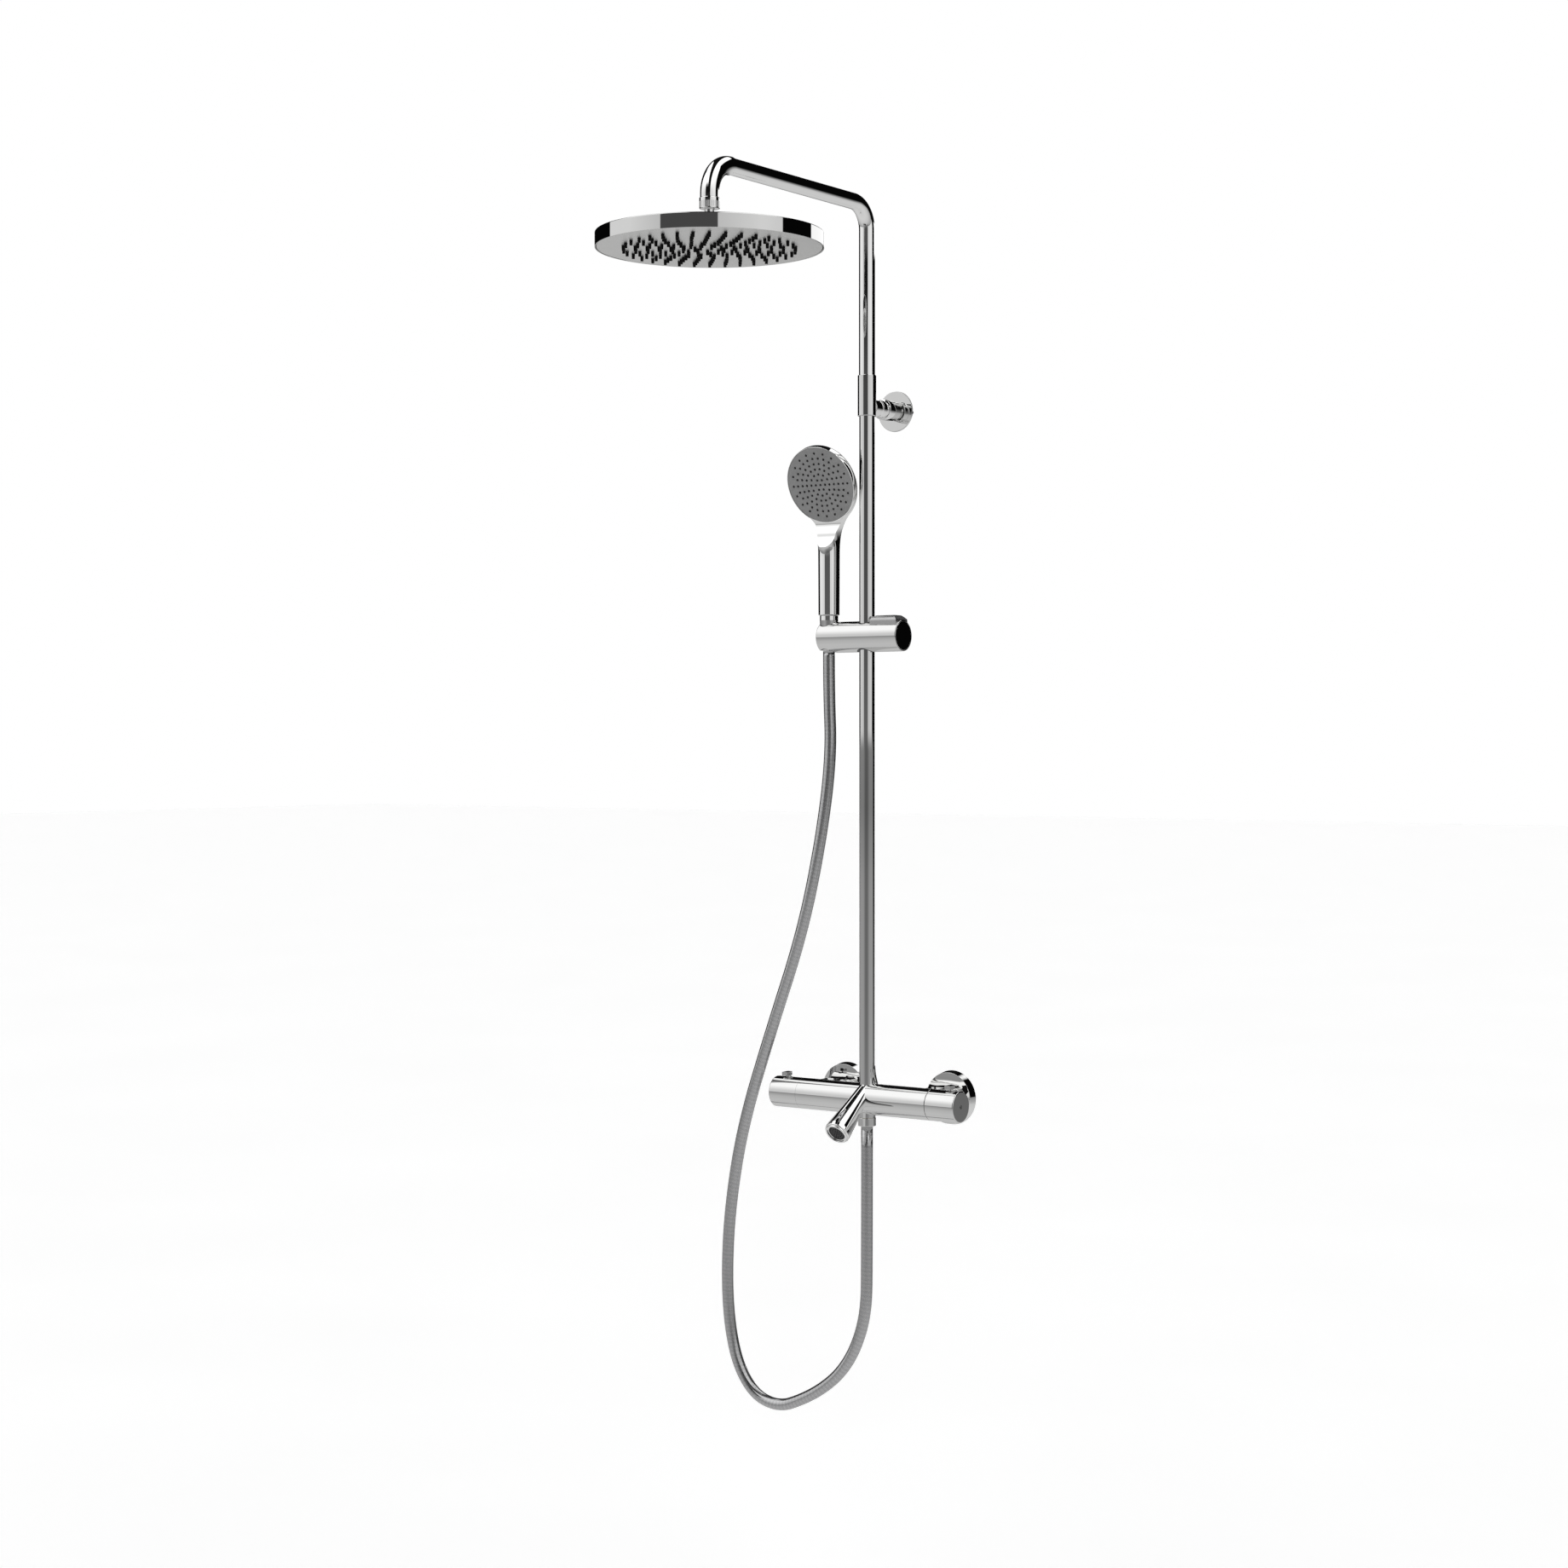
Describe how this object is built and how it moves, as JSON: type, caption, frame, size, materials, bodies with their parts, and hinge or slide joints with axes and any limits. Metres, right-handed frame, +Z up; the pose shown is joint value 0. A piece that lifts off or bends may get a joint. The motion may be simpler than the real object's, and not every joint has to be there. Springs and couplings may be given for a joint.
{
  "type": "rainfall shower column",
  "caption": "Wall-hung chrome shower column: thermostatic bar mixer with bath spout, riser, swivelling overhead arm with round rain head, sliding holder, hand shower and hose.",
  "frame": {"origin": "on the wall plane, midway between the two water inlets, at the height of the mixer bar", "axes": "+Z up along the riser, +Y into the wall, +X to the right for a person facing the wall"},
  "size_m": [0.33, 0.5175, 1.449],
  "materials": {
    "chrome": "polished",
    "satin_face": "satin",
    "head_nozzle_rubber": "matte",
    "hand_nozzle_rubber": "matte",
    "grey_face": "satin",
    "hose_silver": "satin",
    "rubber_black": "matte",
    "nylon": "matte",
    "cartridge_plastic": "matte",
    "brass_plated": "plated",
    "steel": "satin"
  },
  "bodies": {
    "column": {"aerator_insert": "nylon", "aerator_ring": "chrome", "bath_spout": "chrome", "bracket_grub_screw": "steel", "bracket_rosette": "chrome", "bracket_screws": "steel", "bracket_stem": "chrome", "bracket_wall_plate": "steel", "check_valves": "nylon", "flow_diverter_cartridge": "cartridge_plastic", "hose_end_nut": "chrome", "inlet_filters": "steel", "inlet_washers": "rubber_black", "mixer_body": "chrome", "outlet_washer": "rubber_black", "riser_foot_collar": "chrome", "riser_lower": "chrome", "riser_sleeve": "chrome", "shower_hose": "hose_silver", "shower_outlet_nipple": "brass_plated", "sleeve_seals": "rubber_black", "thermostatic_cartridge": "cartridge_plastic", "union_nuts": "chrome", "wall_rosette_left": "chrome", "wall_rosette_right": "chrome", "wall_union_left": "chrome", "wall_union_right": "chrome"},
    "shower_arm": {"overhead_pipe": "chrome", "arm_elbow": "chrome", "arm_nut": "chrome", "arm_washer": "rubber_black", "swivel_ball": "chrome"},
    "ball_seat": {"ball_seat_ring": "nylon"},
    "rain_head": {"rain_head_shell": "chrome", "rain_head_face": "satin_face", "rain_head_nozzles": "head_nozzle_rubber", "ball_socket_collar": "chrome"},
    "slider": {"slider_body": "chrome", "slider_bush": "nylon", "slider_end_cap": "chrome", "handset_seat_liner": "nylon", "release_spring": "steel"},
    "slider_button": {"release_button": "chrome"},
    "hand_shower": {"hand_shower_shell": "chrome", "hand_shower_face": "grey_face", "hand_shower_nozzles": "hand_nozzle_rubber", "hand_shower_waterway": "nylon", "handset_washer": "rubber_black", "hose_cone_nut": "chrome"},
    "temperature_knob": {"temperature_handle": "chrome", "temperature_handle_screw": "steel", "temperature_spindle": "brass_plated", "temperature_stop_spring": "steel"},
    "temperature_stop": {"temperature_stop_button": "chrome"},
    "flow_knob": {"flow_handle": "chrome", "flow_handle_screw": "steel", "flow_spindle": "brass_plated", "flow_stop_spring": "steel"},
    "flow_stop": {"flow_stop_button": "chrome"}
  },
  "joints": [
    {"name": "arm_swivel", "type": "hinge", "parent": "column", "child": "shower_arm", "pos_m": [0, -0.071, 0.84], "axis": [0, 0, 1], "range_deg": [-45, 45]},
    {"name": "head_tilt_fore_aft", "type": "hinge", "parent": "shower_arm", "child": "ball_seat", "pos_m": [0, -0.3785, 0.987], "axis": [1, 0, 0], "range_deg": [-15, 15]},
    {"name": "head_tilt_sideways", "type": "hinge", "parent": "ball_seat", "child": "rain_head", "pos_m": [0, -0.3785, 0.987], "axis": [0, 1, 0], "range_deg": [-15, 15]},
    {"name": "slider_slide", "type": "slide", "parent": "column", "child": "slider", "axis": [0, 0, 1], "range_m": [-0.38, 0.21], "deforming": ["shower_hose"]},
    {"name": "slider_release", "type": "slide", "parent": "slider", "child": "slider_button", "axis": [0, 0, -1], "range_m": [0, 0.002], "stiffness_N_per_m": 800, "springref_m": -0.003, "deforming": ["release_spring"]},
    {"name": "hand_shower_swivel", "type": "hinge", "parent": "slider", "child": "hand_shower", "pos_m": [-0.0535, -0.0725, 0.55], "axis": [0, 0, 1], "range_deg": [-120, 0]},
    {"name": "temperature_turn", "type": "hinge", "parent": "column", "child": "temperature_knob", "pos_m": [0.11, -0.071, 0], "axis": [1, 0, 0], "range_deg": [-120, 45]},
    {"name": "temperature_stop_press", "type": "slide", "parent": "temperature_knob", "child": "temperature_stop", "axis": [0, 0, -1], "range_m": [0, 0.001], "stiffness_N_per_m": 400, "springref_m": -0.003, "deforming": ["temperature_stop_spring"]},
    {"name": "flow_turn", "type": "hinge", "parent": "column", "child": "flow_knob", "pos_m": [-0.11, -0.071, 0], "axis": [1, 0, 0], "range_deg": [-90, 90]},
    {"name": "flow_stop_press", "type": "slide", "parent": "flow_knob", "child": "flow_stop", "axis": [0, 0, -1], "range_m": [0, 0.001], "stiffness_N_per_m": 400, "springref_m": -0.003, "deforming": ["flow_stop_spring"]}
  ]
}
